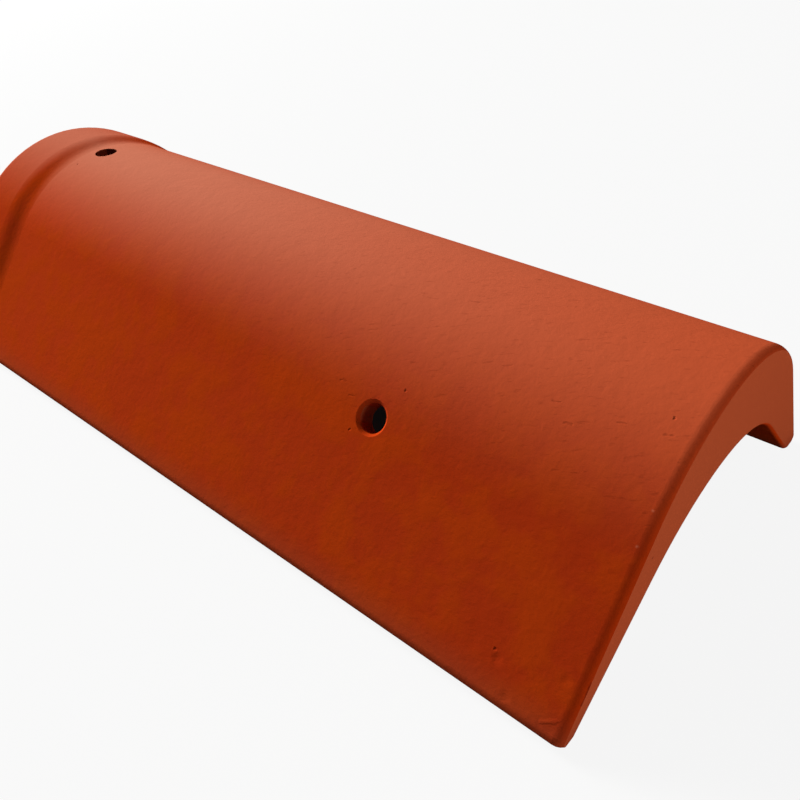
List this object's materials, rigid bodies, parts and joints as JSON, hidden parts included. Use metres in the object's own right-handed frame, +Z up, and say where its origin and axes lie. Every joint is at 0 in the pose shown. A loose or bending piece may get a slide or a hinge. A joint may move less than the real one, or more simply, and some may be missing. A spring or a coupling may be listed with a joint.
{
  "type": "clay ridge tile",
  "caption": "Arched clay ridge tile with a raised collar at one end, a thick rounded end face at the other, and fixing holes through the crown and one flank.",
  "frame": {"origin": "middle of the tile on the plane of its feet", "axes": "+X along the ridge towards the plain end, +Y across the tile, +Z up through the crown"},
  "size_m": [0.405, 0.199, 0.09],
  "materials": {
    "clay": "matte fired clay"
  },
  "bodies": {
    "root": {"ridge_tile": "clay"}
  },
  "joints": []
}
